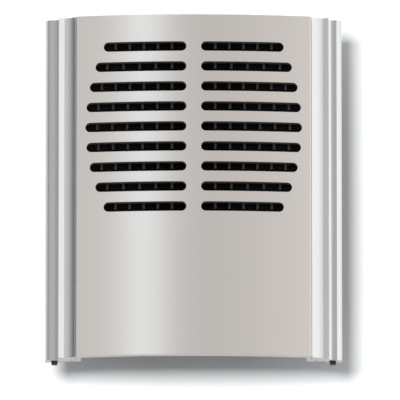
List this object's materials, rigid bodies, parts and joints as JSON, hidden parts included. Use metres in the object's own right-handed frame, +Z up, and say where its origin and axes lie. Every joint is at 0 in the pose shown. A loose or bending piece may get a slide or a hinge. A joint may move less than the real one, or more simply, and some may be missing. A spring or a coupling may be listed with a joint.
{
  "type": "intercom audio module",
  "caption": "Door panel audio module: slotted convex aluminium front between moulded rails, with loudspeaker, microphone and wiring terminals behind it.",
  "frame": {"origin": "middle of the four fixing inserts, on the seat plane at the carrier's back", "axes": "+X to the right as seen from in front, +Y from the front to the back, +Z up"},
  "size_m": [0.1, 0.032, 0.1188],
  "materials": {
    "anodised_front": "satin natural anodised extrusion",
    "seal_rubber": "matt black rubber",
    "grille_black": "matt black moulding",
    "membrane_cloth": "fine black cloth",
    "carrier_black": "fine textured black moulding",
    "cover_grey": "fine textured dark grey moulding",
    "zinc_steel": "bright zinc plate",
    "insert_brass": "turned brass",
    "gasket_foam": "closed cell foam",
    "cone_film": "thin translucent film",
    "coil_copper": "enamelled copper winding",
    "ferrite": "sintered ferrite",
    "tag_board": "resin bonded paper with tinned lugs",
    "boot_rubber": "soft black rubber",
    "capsule_shell": "drawn aluminium can",
    "board_green": "green solder mask",
    "terminal_green": "green terminal housing",
    "tinned_metal": "tinned",
    "trimmer_blue": "blue moulding",
    "rotor_white": "white moulding",
    "chip_black": "matt black moulding with tinned pins",
    "can_sleeve": "shrink sleeve on an aluminium can",
    "capacitor_red": "red film capacitor box",
    "resistor_tan": "lacquer",
    "diode_glass": "black moulding",
    "lamination": "varnished laminations",
    "bobbin_tape": "yellow tape on a winding",
    "connector_white": "natural nylon",
    "wire_red": "insulated wire"
  },
  "bodies": {
    "root": {"front_plate": "anodised_front", "side_rail_left": "anodised_front", "side_rail_right": "anodised_front", "rail_seal_left": "seal_rubber", "rail_seal_right": "seal_rubber", "slot_grille": "grille_black", "acoustic_membrane": "membrane_cloth", "carrier": "carrier_black", "frame_inserts": "insert_brass", "rail_screws": "zinc_steel", "rear_cover": "cover_grey", "cover_screws": "zinc_steel", "speaker_gasket": "gasket_foam", "speaker_basket": "zinc_steel", "speaker_surround": "cone_film", "speaker_top_plate": "zinc_steel", "speaker_magnet": "ferrite", "speaker_yoke": "zinc_steel", "speaker_tag": "tag_board", "speaker_clips": "zinc_steel", "clip_screws": "zinc_steel", "microphone_boot": "boot_rubber", "microphone_capsule": "capsule_shell", "main_board": "board_green", "board_screws": "zinc_steel", "terminal_block": "terminal_green", "terminal_bars": "tinned_metal", "volume_trimmer": "trimmer_blue", "microphone_trimmer": "trimmer_blue", "speech_chip": "chip_black", "amplifier_chip": "chip_black", "transformer_core": "lamination", "transformer_bobbin": "bobbin_tape", "electrolytic_capacitors": "can_sleeve", "film_capacitors": "capacitor_red", "resistors": "resistor_tan", "diodes": "diode_glass", "speaker_header": "connector_white", "speaker_plug": "connector_white", "microphone_header": "connector_white", "microphone_plug": "connector_white", "speaker_leads": "wire_red", "microphone_leads": "wire_red"},
    "cone": {"speaker_cone": "cone_film", "dust_cap": "cone_film", "voice_coil": "coil_copper"},
    "volume_rotor": {"volume_rotor": "rotor_white"},
    "microphone_rotor": {"microphone_rotor": "rotor_white"},
    "clamp_screw_1": {"terminal_screw_1": "zinc_steel"},
    "clamp_cage_1": {"terminal_cage_1": "tinned_metal"},
    "clamp_screw_2": {"terminal_screw_2": "zinc_steel"},
    "clamp_cage_2": {"terminal_cage_2": "tinned_metal"},
    "clamp_screw_3": {"terminal_screw_3": "zinc_steel"},
    "clamp_cage_3": {"terminal_cage_3": "tinned_metal"},
    "clamp_screw_4": {"terminal_screw_4": "zinc_steel"},
    "clamp_cage_4": {"terminal_cage_4": "tinned_metal"},
    "clamp_screw_5": {"terminal_screw_5": "zinc_steel"},
    "clamp_cage_5": {"terminal_cage_5": "tinned_metal"}
  },
  "joints": [
    {"name": "cone_travel", "type": "slide", "parent": "root", "child": "cone", "axis": [0, 1, 0], "range_m": [-0.0005, 0.0005], "stiffness_N_per_m": 1800, "deforming": ["speaker_surround"]},
    {"name": "volume_turn", "type": "hinge", "parent": "root", "child": "volume_rotor", "pos_m": [-0.01705, 0.0068, -0.044], "axis": [0, 1, 0], "range_deg": [-135, 135]},
    {"name": "microphone_level_turn", "type": "hinge", "parent": "root", "child": "microphone_rotor", "pos_m": [0.01705, 0.0068, -0.044], "axis": [0, 1, 0], "range_deg": [-135, 135]},
    {"name": "clamp_screw_1_turn", "type": "hinge", "parent": "root", "child": "clamp_screw_1", "pos_m": [-0.01, 0.0126, -0.0444], "axis": [0, -1, 0], "range_deg": [0, 1008]},
    {"name": "clamp_cage_1_rise", "type": "slide", "parent": "root", "child": "clamp_cage_1", "axis": [0, 1, 0], "range_m": [0, 0.0014]},
    {"name": "clamp_screw_2_turn", "type": "hinge", "parent": "root", "child": "clamp_screw_2", "pos_m": [-0.005, 0.0126, -0.0444], "axis": [0, -1, 0], "range_deg": [0, 1008]},
    {"name": "clamp_cage_2_rise", "type": "slide", "parent": "root", "child": "clamp_cage_2", "axis": [0, 1, 0], "range_m": [0, 0.0014]},
    {"name": "clamp_screw_3_turn", "type": "hinge", "parent": "root", "child": "clamp_screw_3", "pos_m": [0, 0.0126, -0.0444], "axis": [0, -1, 0], "range_deg": [0, 1008]},
    {"name": "clamp_cage_3_rise", "type": "slide", "parent": "root", "child": "clamp_cage_3", "axis": [0, 1, 0], "range_m": [0, 0.0014]},
    {"name": "clamp_screw_4_turn", "type": "hinge", "parent": "root", "child": "clamp_screw_4", "pos_m": [0.005, 0.0126, -0.0444], "axis": [0, -1, 0], "range_deg": [0, 1008]},
    {"name": "clamp_cage_4_rise", "type": "slide", "parent": "root", "child": "clamp_cage_4", "axis": [0, 1, 0], "range_m": [0, 0.0014]},
    {"name": "clamp_screw_5_turn", "type": "hinge", "parent": "root", "child": "clamp_screw_5", "pos_m": [0.01, 0.0126, -0.0444], "axis": [0, -1, 0], "range_deg": [0, 1008]},
    {"name": "clamp_cage_5_rise", "type": "slide", "parent": "root", "child": "clamp_cage_5", "axis": [0, 1, 0], "range_m": [0, 0.0014]}
  ],
  "couplings": [
    {"joint": "clamp_screw_1_turn", "follows": "clamp_cage_1_rise", "rad_per_m": 12566},
    {"joint": "clamp_screw_2_turn", "follows": "clamp_cage_2_rise", "rad_per_m": 12566},
    {"joint": "clamp_screw_3_turn", "follows": "clamp_cage_3_rise", "rad_per_m": 12566},
    {"joint": "clamp_screw_4_turn", "follows": "clamp_cage_4_rise", "rad_per_m": 12566},
    {"joint": "clamp_screw_5_turn", "follows": "clamp_cage_5_rise", "rad_per_m": 12566}
  ]
}
